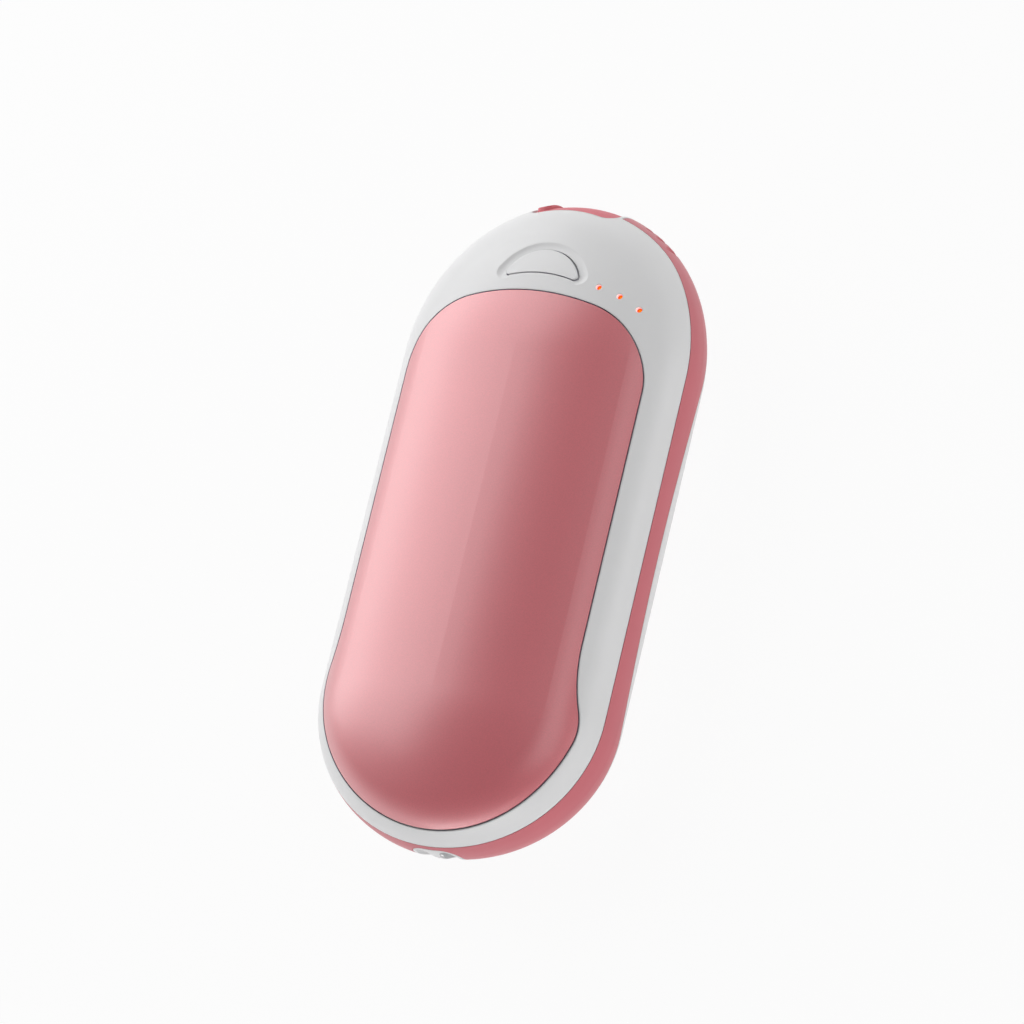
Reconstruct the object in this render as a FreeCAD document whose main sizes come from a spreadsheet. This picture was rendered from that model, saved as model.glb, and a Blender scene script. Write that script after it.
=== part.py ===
import FreeCAD
import Part
import Sketcher
import os
import re
from math import atan2, cos, hypot, pi, sin, sqrt
from FreeCAD import Placement, Rotation, Vector

# A pocket hand warmer lying on its back: X across, Y along with the ports at +Y, Z up through the front.
# Heights are measured from the waist, the widest level of the body, unless a name says otherwise.
# Distances called margins run inwards from the nearer end of the body. Lengths are millimetres.
SIZES = {
    # The outer body
    "body_length": "100.9",
    "body_width": "48",
    "front_height": "13.5",
    "rear_height": "10.5",
    "top_end_length": "26.2",
    "bottom_end_length": "21.9",
    "front_corner_radius": "11.05",
    "rear_corner_radius": "6",
    "rear_land_share": "0.375",
    # Layers counted inwards from the outer surface
    "plate_thickness": "0.8",
    "tape_thickness": "0.15",
    "shell_wall": "1.7",
    "lip_gap": "0.15",
    "lip_thickness": "0.75",
    "lip_reach": "1",
    "seam_gap": "0.1",
    "fit_gap": "0.1",
    "overrun": "3",
    # Seams of the band
    "front_seam_height": "3.44",
    "seam_rise_margin": "10.2",
    "seam_rise_radius": "20",
    "rear_seam_height": "0.3",
    "rear_seam_drop": "6.15",
    # Front plate
    "plate_width_share": "0.8158",
    "plate_top_margin": "17.7",
    "plate_bottom_margin": "2.35",
    "plate_top_radius": "45",
    "plate_corner_radius": "12",
    "plate_foot_share": "0.7495",
    "plate_lean_share": "0.0153",
    "plate_notch_share": "0.9193",
    "plate_shoulder_share": "0.2196",
    "plate_bottom_share": "0.5388",
    "plate_gap": "0.15",
    "tape_inset": "0.3",
    # Rear plate
    "rear_plate_share": "0.7583",
    # Openings under the plates, with the films and pads that fill them
    "window_width_share": "0.6667",
    "window_top_margin": "21.2",
    "window_bottom_margin": "14.6",
    "window_corner_radius": "10",
    "film_gap": "0.3",
    "sensor_diameter": "3",
    "sensor_margin": "40.5",
    # Power button
    "button_offset": "0.55",
    "button_margin": "17.05",
    "button_arc_radius": "6.35",
    "button_lower_radius": "20.5",
    "button_lower_rise": "2.5",
    "button_tip_radius": "0.55",
    "button_gap": "0.15",
    "button_flange": "0.7",
    "button_post_diameter": "3",
    "button_travel": "0.25",
    "moat_ring_radius": "7.04",
    "moat_tube_radius": "2.6",
    "moat_level": "14.37",
    "moat_tilt": "8.2",
    "moat_lean": "0.65",
    "moat_sweep": "130",
    # Indicator lights
    "light_arc_share": "0.4167",
    "light_offset_share": "0.1333",
    "light_margin": "15.55",
    "light_first_angle": "10.6",
    "light_step_angle": "10",
    "lens_diameter": "0.75",
    "lens_recess": "0.5",
    "chip_length": "1.4",
    "chip_width": "0.8",
    "chip_height": "0.6",
    "lens_gap": "0.4",
    # Port cover, its collar and the plate behind it
    "cover_width": "14",
    "cover_low": "4.45",
    "cover_high": "6.8",
    "cover_corner_radius": "2",
    "cover_gap": "0.2",
    "cover_recess": "0.28",
    "cover_inner_margin": "3.75",
    "collar_wall": "0.5",
    "port_plate_thickness": "0.9",
    "port_plate_gap": "0.3",
    "tab_offset": "5.6",
    "tab_width": "2",
    "tab_low": "1.9",
    "tab_high": "5.4",
    "tab_corner_radius": "0.8",
    "tab_rise": "0.53",
    "nub_depth": "1.4",
    "nub_clearance": "0.7",
    "tether_width": "0.9",
    "tether_height": "2",
    "tether_level": "5.1",
    "tether_bead_diameter": "1.6",
    "tether_bead_depth": "2",
    # Grip grooves in the shoulder of the band
    "groove_clearance": "4.1",
    "groove_pitch": "1.95",
    "groove_radius": "0.8",
    "groove_half_height": "2.7",
    "groove_level": "0.7",
    "groove_depth": "0.65",
    # Lanyard anchor
    "anchor_width": "7.8",
    "anchor_low": "4.1",
    "anchor_high": "2.55",
    "anchor_corner_radius": "2.6",
    "anchor_depth": "4.2",
    "anchor_ring_radius": "1.95",
    "anchor_eye_width": "3",
    "anchor_eye_height": "5.8",
    # Cells and what holds them
    "cell_width_share": "0.3792",
    "cell_depth_share": "0.7584",
    "cell_length_share": "0.4955",
    "cell_gap": "0.4",
    "cell_level": "1",
    "cell_margin": "19.45",
    "cell_nub_diameter": "6",
    "cell_nub_height": "0.8",
    "holder_margin": "1.1",
    "holder_low": "3.6",
    "holder_high": "6",
    "holder_grip": "5.5",
    "holder_wall": "1.2",
    "holder_corner_radius": "3",
    "holder_hole_diameter": "5",
    "strip_share": "1.4",
    "strip_width": "6",
    "strip_thickness": "0.2",
    "strip_tab_width": "3",
    "strip_tab_level": "8.2",
    "lead_diameter": "1.2",
    "lead_level": "7.2",
    "lead_bend_radius": "2",
    "lead_foot_margin": "18.55",
    "positive_lead_offset": "8.5",
    # Circuit board and its parts
    "board_width_share": "0.7292",
    "board_length": "14",
    "board_margin": "6.45",
    "board_level": "2.8",
    "board_thickness": "1",
    "board_corner_radius": "13.5",
    "switch_width": "4.5",
    "switch_height": "3.5",
    "switch_margin": "15.3",
    "plunger_diameter": "2.4",
    "plunger_rise": "1",
    "plunger_depth": "1.5",
    "plunger_gap": "0.1",
    "inductor_width": "4",
    "inductor_height": "3",
    "inductor_share": "0.2917",
    "inductor_margin": "15",
    "inductor_corner_radius": "0.8",
    "control_width": "4",
    "control_height": "0.9",
    "control_share": "0.1042",
    "control_back_share": "0.2917",
    "control_margin": "16.2",
    "capacitor_length": "2",
    "capacitor_width": "1.2",
    "capacitor_pitch": "1.8",
    "capacitor_share": "0.2625",
    "capacitor_margin": "16",
    # Charging outlet and inlet
    "outlet_width": "13.1",
    "outlet_height": "5.7",
    "outlet_length": "14",
    "outlet_wall": "0.3",
    "outlet_core_length": "5",
    "outlet_tongue_width": "11.1",
    "outlet_tongue_thickness": "1.8",
    "outlet_tongue_drop": "0.9",
    "inlet_width": "7.5",
    "inlet_height": "2.6",
    "inlet_length": "5",
    "inlet_wall": "0.25",
    "inlet_core_length": "1.5",
    "inlet_tongue_width": "4",
    "inlet_tongue_thickness": "0.6",
    "tongue_recess": "2.2",
    # Case screws and the bosses that they join
    "screw_diameter": "1.6",
    "screw_length": "12",
    "screw_head_diameter": "3.2",
    "screw_head_height": "1",
    "screw_head_level": "6.9",
    "screw_gap": "0.1",
    "boss_diameter": "4.4",
    "boss_gap": "0.05",
    "top_screw_share": "0.1979",
    "top_screw_margin": "13",
    "bottom_screw_share": "0.1667",
    "bottom_screw_margin": "10.2",
    # Ribbon leads of the heater films
    "ribbon_width": "2.4",
    "ribbon_thickness": "0.2",
    "ribbon_foot": "1.5",
    "ribbon_margin": "20.05",
    "front_ribbon_offset": "4.5",
    "front_ribbon_level": "8",
    "rear_ribbon_offset": "4.5",
    "rear_ribbon_level": "6",
}

# Places and sizes worked out from the driving dimensions
WORKED = {
    "half_length": "body_length / 2",
    "half_width": "body_width / 2",
    "top_start": "half_length - top_end_length",
    "bottom_start": "bottom_end_length - half_length",
    "straight_middle": "(top_start + bottom_start) / 2",
    "top_stretch": "top_end_length / half_width",
    "bottom_stretch": "bottom_end_length / half_width",
    "no_inset": "0",
    "rear_land_width": "body_width * rear_land_share",
    "plate_width": "body_width * plate_width_share",
    "plate_notch_margin": "plate_bottom_margin + plate_width * plate_foot_share",
    "plate_notch_radius": "plate_width * plate_notch_share",
    "plate_shoulder_radius": "plate_width * plate_shoulder_share",
    "plate_bottom_radius": "plate_width * plate_bottom_share",
    "plate_foot_offset": "plate_width * plate_lean_share",
    "rear_plate_width": "body_width * rear_plate_share",
    "window_width": "body_width * window_width_share",
    "board_width": "body_width * board_width_share",
    "rear_seam_radius": "half_length ^ 2 / (2 * rear_seam_drop) + rear_seam_drop / 2",
    "light_arc_radius": "body_width * light_arc_share",
    "light_arc_offset": "body_width * light_offset_share",
    "top_screw_offset": "body_width * top_screw_share",
    "bottom_screw_offset": "body_width * bottom_screw_share",
    "inductor_offset": "body_width * inductor_share",
    "control_offset": "body_width * control_share",
    "control_back_offset": "body_width * control_back_share",
    "capacitor_offset": "body_width * capacitor_share",
    "cell_diameter": "min(body_width * cell_width_share; (front_height + rear_height) * cell_depth_share)",
    "cell_length": "body_length * cell_length_share",
    "cell_pitch": "cell_diameter + cell_gap",
    "holder_width": "cell_pitch + cell_diameter + holder_margin * 2",
    "strip_length": "cell_pitch * strip_share",
    "seat_inset": "plate_thickness + tape_thickness",
    "lip_outer_inset": "shell_wall + lip_gap",
    "lip_inner_inset": "lip_outer_inset + lip_thickness",
    "tab_inset": "cover_recess - tab_rise",
    "tape_growth": "-tape_inset",
    "board_top": "board_level + board_thickness",
    "board_end": "half_length - board_margin",
    "switch_top": "board_top + switch_height",
    "switch_centre": "half_length - switch_margin",
    "plunger_top": "switch_top + plunger_rise",
    "cover_inner": "half_length - cover_inner_margin",
    "port_plate_outer": "cover_inner - port_plate_gap",
    "port_plate_inner": "port_plate_outer - port_plate_thickness",
    "collar_growth": "cover_gap + collar_wall",
    "collar_hole_growth": "collar_growth + seam_gap",
    "port_plate_growth": "cover_gap - fit_gap",
    "cell_start": "cell_margin - half_length",
    "cell_end": "cell_start + cell_length",
    "outlet_top": "board_level",
    "outlet_low": "board_level - outlet_height",
    "inlet_low": "board_top",
    "button_centre": "half_length - button_margin",
}

LIGHT_COUNT = 3
GROOVE_COUNT = 3
CAPACITOR_COUNT = 3
FULL_TURN = 360
HALF_TURN = FULL_TURN / 2
THIRD_TURN = FULL_TURN / 3
QUARTER_TURN = FULL_TURN / 4
X_AXIS = Vector(1, 0, 0)
Y_AXIS = Vector(0, 1, 0)
Z_AXIS = Vector(0, 0, 1)
# Turn of a sketch whose own axes then lie along the two named axes
PLANES = {
    "XY": Rotation(),
    "XZ": Rotation(X_AXIS, QUARTER_TURN),
    "YZ": Rotation(Vector(1, 1, 1), THIRD_TURN),
}
START, END, CENTRE = 1, 2, 3
ORIGIN = (-1, 1)
ACROSS, UPRIGHT = -1, -2

doc = FreeCAD.newDocument("HandWarmer")
sheet = doc.addObject("Spreadsheet::Sheet", "Sizes")
pieces = []


def fill_sheet():
    """Writes every driving dimension, then what is worked out from them, each under its own alias."""
    rows = list(SIZES.items()) + [(name, "=" + text) for name, text in WORKED.items()]
    for row, (name, text) in enumerate(rows, start=1):
        sheet.set("A%d" % row, name)
        sheet.set("B%d" % row, text)
        sheet.setAlias("B%d" % row, name)
    doc.recompute()


def formula(text):
    """A formula in size names, as an expression that reads the sheet."""
    def refer(match):
        word = match.group()
        return "Sizes." + word if word in SIZES or word in WORKED else word
    return re.sub(r"[a-z][a-z_]*", refer, text)


def number(text):
    """The present value of a formula in size names."""
    sheet.set("C1", "=" + text)
    sheet.recompute()
    return float(sheet.get("C1"))


def bind(item, sizes):
    for name, text in sizes.items():
        item.setExpression(name, formula(text))
    return item


def make(kind, name):
    item = doc.addObject(kind, name)
    item.Label = name
    return item


def piece(item, label):
    """Names a finished piece and keeps it for writing."""
    item.Label = label
    pieces.append(item)
    return item


def blend(kind, name):
    """A combination of bodies that keeps its faces as they are cut."""
    item = make(kind, name)
    item.Refine = False
    return item


def cut(name, base, *tools):
    """A body less one or more others, taken away one after another."""
    for count, tool in enumerate(tools, start=1):
        item = blend("Part::Cut", name if count == len(tools) else "%s_%d" % (name, count))
        item.Base = base
        item.Tool = tool
        base = item
    return item


def fuse(name, *shapes):
    item = blend("Part::MultiFuse", name)
    item.Shapes = list(shapes)
    return item


def common(name, base, tool):
    item = blend("Part::Common", name)
    item.Base = base
    item.Tool = tool
    return item


def group(name, *shapes):
    item = make("Part::Compound", name)
    item.Links = list(shapes)
    return item


def block(name, x, y, z):
    """A box between pairs of formulas; heights count from the waist."""
    item = make("Part::Box", name)
    for side, axis, (low, high) in (("Length", "x", x), ("Width", "y", y), ("Height", "z", z)):
        lift = "rear_height + " if axis == "z" else ""
        bind(item, {side: "(%s) - (%s)" % (high, low), "Placement.Base." + axis: lift + "(%s)" % low})
    return item


def slab(name, x, width, y, length, z):
    """A box centred on a place in plan, between two heights from the waist."""
    across = ("(%s) - (%s) / 2" % (x, width), "(%s) + (%s) / 2" % (x, width))
    along = ("(%s) - (%s) / 2" % (y, length), "(%s) + (%s) / 2" % (y, length))
    return block(name, across, along, z)


def rod(name, x, y, z, diameter):
    """An upright cylinder between two heights from the waist."""
    item = make("Part::Cylinder", name)
    low, high = z
    return bind(item, {
        "Radius": "(%s) / 2" % diameter,
        "Height": "(%s) - (%s)" % (high, low),
        "Placement.Base.x": x,
        "Placement.Base.y": y,
        "Placement.Base.z": "rear_height + (%s)" % low,
    })


def sketch(name, plane):
    """A sketch whose own origin lies on the waist, in the middle of the body."""
    item = make("Sketcher::SketchObject", name)
    item.Placement = Placement(Vector(), PLANES[plane])
    return bind(item, {"Placement.Base.z": "rear_height"})


def line(item, x0, y0, x1, y1):
    return item.addGeometry(Part.LineSegment(Vector(x0, y0, 0), Vector(x1, y1, 0)))


def arc(item, x, y, radius, first, last):
    """An arc drawn anticlockwise between two angles in radians."""
    circle = Part.Circle(Vector(x, y, 0), Z_AXIS, radius)
    return item.addGeometry(Part.ArcOfCircle(circle, first, last))


def dimension(item, kind, places, text):
    index = item.addConstraint(Sketcher.Constraint(kind, *places, number(text)))
    item.setExpression("Constraints[%d]" % index, formula(text))


def place_point(item, geometry, point, x=None, y=None):
    """Holds a point at formulas measured from the sketch's origin."""
    for kind, text, axis in (("DistanceX", x, UPRIGHT), ("DistanceY", y, ACROSS)):
        if text is None:
            continue
        if text == "0":
            item.addConstraint(Sketcher.Constraint("PointOnObject", geometry, point, axis))
        elif number(text) > 0:
            dimension(item, kind, ORIGIN + (geometry, point), text)
        else:
            dimension(item, kind, (geometry, point) + ORIGIN, "-(%s)" % text)


def join(item, kind, *joints):
    """Joins ends of neighbouring lines and arcs, smoothly or just at a point."""
    for first, first_end, second, second_end in joints:
        item.addConstraint(Sketcher.Constraint(kind, first, first_end, second, second_end))


def level(item, *lines):
    for geometry in lines:
        item.addConstraint(Sketcher.Constraint("Horizontal", geometry))


def upright(item, *lines):
    for geometry in lines:
        item.addConstraint(Sketcher.Constraint("Vertical", geometry))


def rounded_outline(item, x, y, radius):
    """A rectangle with four equal round corners, between pairs of formulas."""
    left, right = number(x[0]), number(x[1])
    low, high = number(y[0]), number(y[1])
    size = number(radius)
    line(item, left + size, low, right - size, low)
    arc(item, right - size, low + size, size, -pi / 2, 0)
    line(item, right, low + size, right, high - size)
    arc(item, right - size, high - size, size, 0, pi / 2)
    line(item, right - size, high, left + size, high)
    arc(item, left + size, high - size, size, pi / 2, pi)
    line(item, left, high - size, left, low + size)
    arc(item, left + size, low + size, size, pi, 3 * pi / 2)
    join(item, "Tangent", *[(k, END, (k + 1) % 8, START) for k in range(8)])
    level(item, 0, 4)
    upright(item, 2, 6)
    for corner in (3, 5, 7):
        item.addConstraint(Sketcher.Constraint("Equal", 1, corner))
    dimension(item, "Radius", (1,), radius)
    place_point(item, 6, START, x=x[0])
    place_point(item, 2, START, x=x[1])
    place_point(item, 0, START, y=y[0])
    place_point(item, 4, START, y=y[1])
    return item


def prism(name, base, direction, forward, backward="0"):
    """A sketch drawn out along a direction, and back the other way."""
    item = make("Part::Extrusion", name)
    item.Base = base
    item.DirMode = "Custom"
    item.Dir = direction
    item.Solid = True
    return bind(item, {"LengthFwd": forward, "LengthRev": backward})


def front_prism(name, base):
    return prism(name, base, Z_AXIS, "front_height + overrun")


def rear_prism(name, base):
    return prism(name, base, Z_AXIS, "0", "rear_height + overrun")


def pebble_profile(name, inset):
    """Half of the body's cross-section, inset evenly: corner, crown, axis, land, blend and rear corner."""
    item = sketch(name, "XZ")
    inward = number(inset)
    wide = number("half_width") - inward
    front, rear = number("front_height") - inward, number("rear_height") - inward
    corner, rear_corner = number("front_corner_radius") - inward, number("rear_corner_radius") - inward
    land = number("rear_land_width") / 2
    run = wide - corner
    crown = (run * run + front * front - corner * corner) / (2 * (front - corner))
    meet = atan2(crown - front, run)
    rear_run = wide - rear_corner - land
    blend = (rear_run ** 2 + rear ** 2 - rear_corner ** 2) / (2 * (rear - rear_corner))
    rear_meet = atan2(rear - blend, rear_run)
    arc(item, run, 0, corner, 0, meet)
    arc(item, 0, front - crown, crown, meet, pi / 2)
    line(item, 0, front, 0, -rear)
    line(item, 0, -rear, land, -rear)
    arc(item, land, blend - rear, blend, -pi / 2, rear_meet)
    arc(item, wide - rear_corner, 0, rear_corner, rear_meet, 0)
    join(item, "Tangent", (0, END, 1, START), (3, END, 4, START), (4, END, 5, START))
    join(item, "Coincident", (1, END, 2, START), (2, END, 3, START), (5, END, 0, START))
    level(item, 3)
    place_point(item, 1, CENTRE, x="0")
    place_point(item, 2, START, x="0", y="front_height - " + inset)
    place_point(item, 2, END, x="0", y="-(rear_height - %s)" % inset)
    place_point(item, 0, START, x="half_width - " + inset, y="0")
    place_point(item, 0, CENTRE, y="0")
    place_point(item, 5, CENTRE, y="0")
    place_point(item, 3, END, x="rear_land_width / 2")
    dimension(item, "Radius", (0,), "front_corner_radius - " + inset)
    dimension(item, "Radius", (5,), "rear_corner_radius - " + inset)
    return item


def pebble_end(name, profile, turn, stretch, start):
    """A half turn of the profile, stretched along the body and set at the end of the straight part."""
    half = make("Part::Revolution", name + "_turned")
    half.Source = profile
    half.Axis = Z_AXIS
    half.Angle = turn
    half.Solid = True
    item = make("Part::Scale", name)
    item.Base = half
    item.Uniform = False
    return bind(item, {"YScale": stretch, "Placement.Base.y": start})


def pebble(name, inset):
    """The whole body, inset evenly: a straight part between two stretched round ends."""
    profile = pebble_profile(name + "_profile", inset)
    side = prism(name + "_side", profile, Y_AXIS, "top_start", "-bottom_start")
    other = make("Part::Mirroring", name + "_other_side")
    other.Source = side
    other.Normal = X_AXIS
    top = pebble_end(name + "_top", profile, HALF_TURN, "top_stretch", "top_start")
    bottom = pebble_end(name + "_bottom", profile, -HALF_TURN, "bottom_stretch", "bottom_start")
    return fuse(name, side, other, top, bottom)


def below_front_seam(name, growth):
    """Everything below the seam of the front shell, which lifts near the port end."""
    item = sketch(name + "_outline", "YZ")
    far, deep = number("half_length + overrun"), number("rear_height + overrun")
    top = number("front_seam_height + " + growth)
    lift, radius = number("half_length - seam_rise_margin"), number("seam_rise_radius - " + growth)
    turn = atan2(far - lift, sqrt(radius ** 2 - (far - lift) ** 2))
    line(item, -far, -deep, far, -deep)
    line(item, far, -deep, far, top + radius * (1 - cos(turn)))
    arc(item, lift, top + radius, radius, -pi / 2, -pi / 2 + turn)
    line(item, lift, top, -far, top)
    line(item, -far, top, -far, -deep)
    join(item, "Tangent", (2, START, 3, START))
    join(item, "Coincident", (0, END, 1, START), (1, END, 2, END), (3, END, 4, START), (4, END, 0, START))
    level(item, 0, 3)
    upright(item, 1, 4)
    place_point(item, 0, START, x="-(half_length + overrun)", y="-(rear_height + overrun)")
    place_point(item, 0, END, x="half_length + overrun")
    place_point(item, 2, CENTRE, x="half_length - seam_rise_margin")
    place_point(item, 3, END, y="front_seam_height + " + growth)
    dimension(item, "Radius", (2,), "seam_rise_radius - " + growth)
    return prism(name, item, X_AXIS, "half_width + overrun", "half_width + overrun")


def above_rear_seam(name, growth):
    """Everything above the bowed seam of the rear shell."""
    item = sketch(name + "_outline", "YZ")
    far, tall = number("half_length + overrun"), number("front_height + overrun")
    middle, radius = number("straight_middle"), number("rear_seam_radius - " + growth)
    base = number("rear_seam_height - rear_seam_radius")
    ends = [(x, base + sqrt(radius ** 2 - (x - middle) ** 2)) for x in (far, -far)]
    arc(item, middle, base, radius, *[atan2(y - base, x - middle) for x, y in ends])
    line(item, *ends[0], far, tall)
    line(item, far, tall, -far, tall)
    line(item, -far, tall, *ends[1])
    join(item, "Coincident", (0, START, 1, START), (1, END, 2, START), (2, END, 3, START), (3, END, 0, END))
    level(item, 2)
    upright(item, 1, 3)
    place_point(item, 0, CENTRE, x="straight_middle", y="rear_seam_height - rear_seam_radius")
    place_point(item, 2, START, x="half_length + overrun", y="front_height + overrun")
    place_point(item, 2, END, x="-(half_length + overrun)")
    dimension(item, "Radius", (0,), "rear_seam_radius - " + growth)
    return prism(name, item, X_AXIS, "half_width + overrun", "half_width + overrun")


def shoulder_place(foot_x):
    """Centre of the arc between a notch and the foot on one side, with its bearings from both of them."""
    notch, shoulder = number("plate_notch_radius"), number("plate_shoulder_radius")
    drop = number("plate_notch_margin - plate_bottom_margin - plate_bottom_radius")
    notch_x = number("plate_width / 2") + notch - foot_x
    far, near = notch + shoulder, number("plate_bottom_radius") - shoulder
    span, tilt = hypot(notch_x, drop), atan2(drop, notch_x)
    along = (span ** 2 + near ** 2 - far ** 2) / (2 * span)
    bearing = tilt - atan2(sqrt(near ** 2 - along ** 2), along)
    x, y = near * cos(bearing), near * sin(bearing)
    return foot_x + x, y, bearing, atan2(drop - y, notch_x - x)


def plate_outline(name, growth):
    """The front plate in plan: a low arch, round corners, straight sides, notches and an uneven round foot."""
    item = sketch(name, "XY")
    more = number(growth)
    side = number("plate_width / 2")
    arch, corner = number("plate_top_radius"), number("plate_corner_radius")
    notch, shoulder = number("plate_notch_radius"), number("plate_shoulder_radius")
    foot, foot_x = number("plate_bottom_radius"), number("plate_foot_offset")
    arch_y = number("half_length - plate_top_margin") - arch
    corner_x = side - corner
    corner_y = arch_y + sqrt((arch - corner) ** 2 - corner_x ** 2)
    notch_x, notch_y = side + notch, number("plate_notch_margin - half_length")
    foot_y = number("plate_bottom_margin - half_length") + foot
    right_x, right_y, right_foot, right_notch = shoulder_place(foot_x)
    left_x, left_y, left_foot, left_notch = shoulder_place(-foot_x)
    meet_arch = atan2(corner_y - arch_y, corner_x)
    arc(item, foot_x, foot_y, foot + more, pi - left_foot, 2 * pi + right_foot)
    arc(item, right_x, foot_y + right_y, shoulder + more, right_foot, right_notch)
    arc(item, notch_x, notch_y, notch - more, pi, pi + right_notch)
    line(item, side + more, notch_y, side + more, corner_y)
    arc(item, corner_x, corner_y, corner + more, 0, meet_arch)
    arc(item, 0, arch_y, arch + more, meet_arch, pi - meet_arch)
    arc(item, -corner_x, corner_y, corner + more, pi - meet_arch, pi)
    line(item, -side - more, corner_y, -side - more, notch_y)
    arc(item, -notch_x, notch_y, notch - more, -left_notch, 0)
    arc(item, -left_x, foot_y + left_y, shoulder + more, pi - left_notch, pi - left_foot)
    join(item, "Tangent", (0, END, 1, START), (1, END, 2, END), (2, START, 3, START), (3, END, 4, START),
         (4, END, 5, START), (5, END, 6, START), (6, END, 7, START), (7, END, 8, END),
         (8, START, 9, START), (9, END, 0, START))
    upright(item, 3, 7)
    place_point(item, 0, CENTRE, x="plate_foot_offset",
                y="plate_bottom_margin + plate_bottom_radius - half_length")
    place_point(item, 5, CENTRE, x="0", y="half_length - plate_top_margin - plate_top_radius")
    place_point(item, 3, START, x="plate_width / 2 + " + growth, y="plate_notch_margin - half_length")
    place_point(item, 7, END, x="-(plate_width / 2 + %s)" % growth, y="plate_notch_margin - half_length")
    for geometry, text in ((0, "plate_bottom_radius + "), (1, "plate_shoulder_radius + "),
                           (2, "plate_notch_radius - "), (4, "plate_corner_radius + "),
                           (5, "plate_top_radius + "), (6, "plate_corner_radius + "),
                           (8, "plate_notch_radius - "), (9, "plate_shoulder_radius + ")):
        dimension(item, "Radius", (geometry,), text + growth)
    return item


def button_outline(name, growth):
    """The crescent button in plan: a round back, a hollow lower edge and two round tips."""
    item = sketch(name, "XY")
    more = number(growth)
    middle, back_y = number("button_offset"), number("button_centre")
    back, lower = number("button_arc_radius"), number("button_lower_radius")
    tip = number("button_tip_radius")
    lower_y = back_y + number("button_lower_rise") - lower
    # The tips' centres, at their known distances from the two larger arcs' centres
    reach, rise = back - tip, back_y - lower_y
    up = ((lower + tip) ** 2 - reach ** 2 - rise ** 2) / (2 * rise)
    out = sqrt(reach ** 2 - up ** 2)
    swing, lean = atan2(up, out), atan2(rise + up, out)
    arc(item, middle, back_y, back + more, swing, pi - swing)
    arc(item, middle - out, back_y + up, tip + more, pi - swing, 2 * pi - lean)
    arc(item, middle, lower_y, lower - more, lean, pi - lean)
    arc(item, middle + out, back_y + up, tip + more, lean - pi, swing)
    join(item, "Tangent", (0, END, 1, START), (1, END, 2, END), (2, START, 3, START), (3, END, 0, START))
    place_point(item, 0, CENTRE, x="button_offset", y="button_centre")
    place_point(item, 2, CENTRE, x="button_offset",
                y="button_centre + button_lower_rise - button_lower_radius")
    dimension(item, "Radius", (0,), "button_arc_radius + " + growth)
    dimension(item, "Radius", (2,), "button_lower_radius - " + growth)
    dimension(item, "Radius", (1,), "button_tip_radius + " + growth)
    dimension(item, "Radius", (3,), "button_tip_radius + " + growth)
    return item


def window_outline(name, inset):
    """The opening under a plate, in plan."""
    wide = "(window_width / 2 - %s)" % inset
    along = ("window_bottom_margin - half_length + " + inset, "half_length - window_top_margin - " + inset)
    return rounded_outline(sketch(name, "XY"), ("-" + wide, wide), along, "window_corner_radius - " + inset)


def rear_oval(name, half_width):
    """A prism through the rear, with the body's own plan at a smaller width."""
    ends = []
    for end, stretch, start in (("top", "top_stretch", "top_start"),
                                ("bottom", "bottom_stretch", "bottom_start")):
        post = make("Part::Cylinder", "%s_%s_post" % (name, end))
        bind(post, {"Radius": half_width, "Height": "rear_height"})
        item = make("Part::Scale", "%s_%s" % (name, end))
        item.Base = post
        item.Uniform = False
        ends.append(bind(item, {"YScale": stretch, "Placement.Base.y": start}))
    wide = "(%s)" % half_width
    straight = block(name + "_straight", ("-" + wide, wide), ("bottom_start", "top_start"),
                     ("-rear_height", "0"))
    return fuse(name, straight, *ends)


def cover_prism(name, growth):
    """The port cover's outline, drawn out along the body through the top end."""
    wide = "(cover_width / 2 + %s)" % growth
    tall = ("-(cover_low + %s)" % growth, "cover_high + " + growth)
    outline = sketch(name + "_outline", "XZ")
    rounded_outline(outline, ("-" + wide, wide), tall, "cover_corner_radius + " + growth)
    return prism(name, outline, Y_AXIS, "half_length + overrun")


def anchor_prism(name, growth):
    """The lanyard anchor's outline, drawn out along the body through the bottom end."""
    wide = "(anchor_width / 2 + %s)" % growth
    tall = ("-(anchor_low + %s)" % growth, "anchor_high + " + growth)
    outline = sketch(name + "_outline", "XZ")
    rounded_outline(outline, ("-" + wide, wide), tall, "anchor_corner_radius + " + growth)
    return prism(name, outline, -Y_AXIS, "half_length + overrun")


def screw_places():
    """Offset, position along the body and boss ends of each case screw, by name."""
    top = "half_length - top_screw_margin"
    bottom = "bottom_screw_margin - half_length"
    for name, sign in (("left", "-"), ("right", "")):
        yield name + "_top", sign + "top_screw_offset", top, "board_level", "board_top"
        yield name + "_bottom", sign + "bottom_screw_offset", bottom, "0", "0"


def light_place(index):
    """Plan position of an indicator light along its arc."""
    angle = "(light_first_angle + light_step_angle * %d)" % index
    x = "light_arc_offset + light_arc_radius * sin(%s)" % angle
    y = "half_length - light_margin - light_arc_radius * (1 - cos(%s))" % angle
    return x, y


def make_forms():
    """The nested bodies that bound every layer of the case, and the layers between them."""
    form = {name: pebble(name, inset) for name, inset in (
        ("outer", "no_inset"), ("plate_back", "plate_thickness"), ("seat", "seat_inset"),
        ("inner", "shell_wall"), ("lip_outer", "lip_outer_inset"), ("lip_inner", "lip_inner_inset"),
        ("cover_top", "cover_recess"), ("tab_top", "tab_inset"))}
    layer = {name: cut(name + "_layer", form[outside], form[inside]) for name, outside, inside in (
        ("wall", "outer", "inner"), ("plate", "outer", "plate_back"), ("tape", "plate_back", "seat"),
        ("pad", "seat", "inner"), ("lip", "lip_outer", "lip_inner"), ("band", "outer", "lip_inner"))}
    return form, layer


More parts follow.
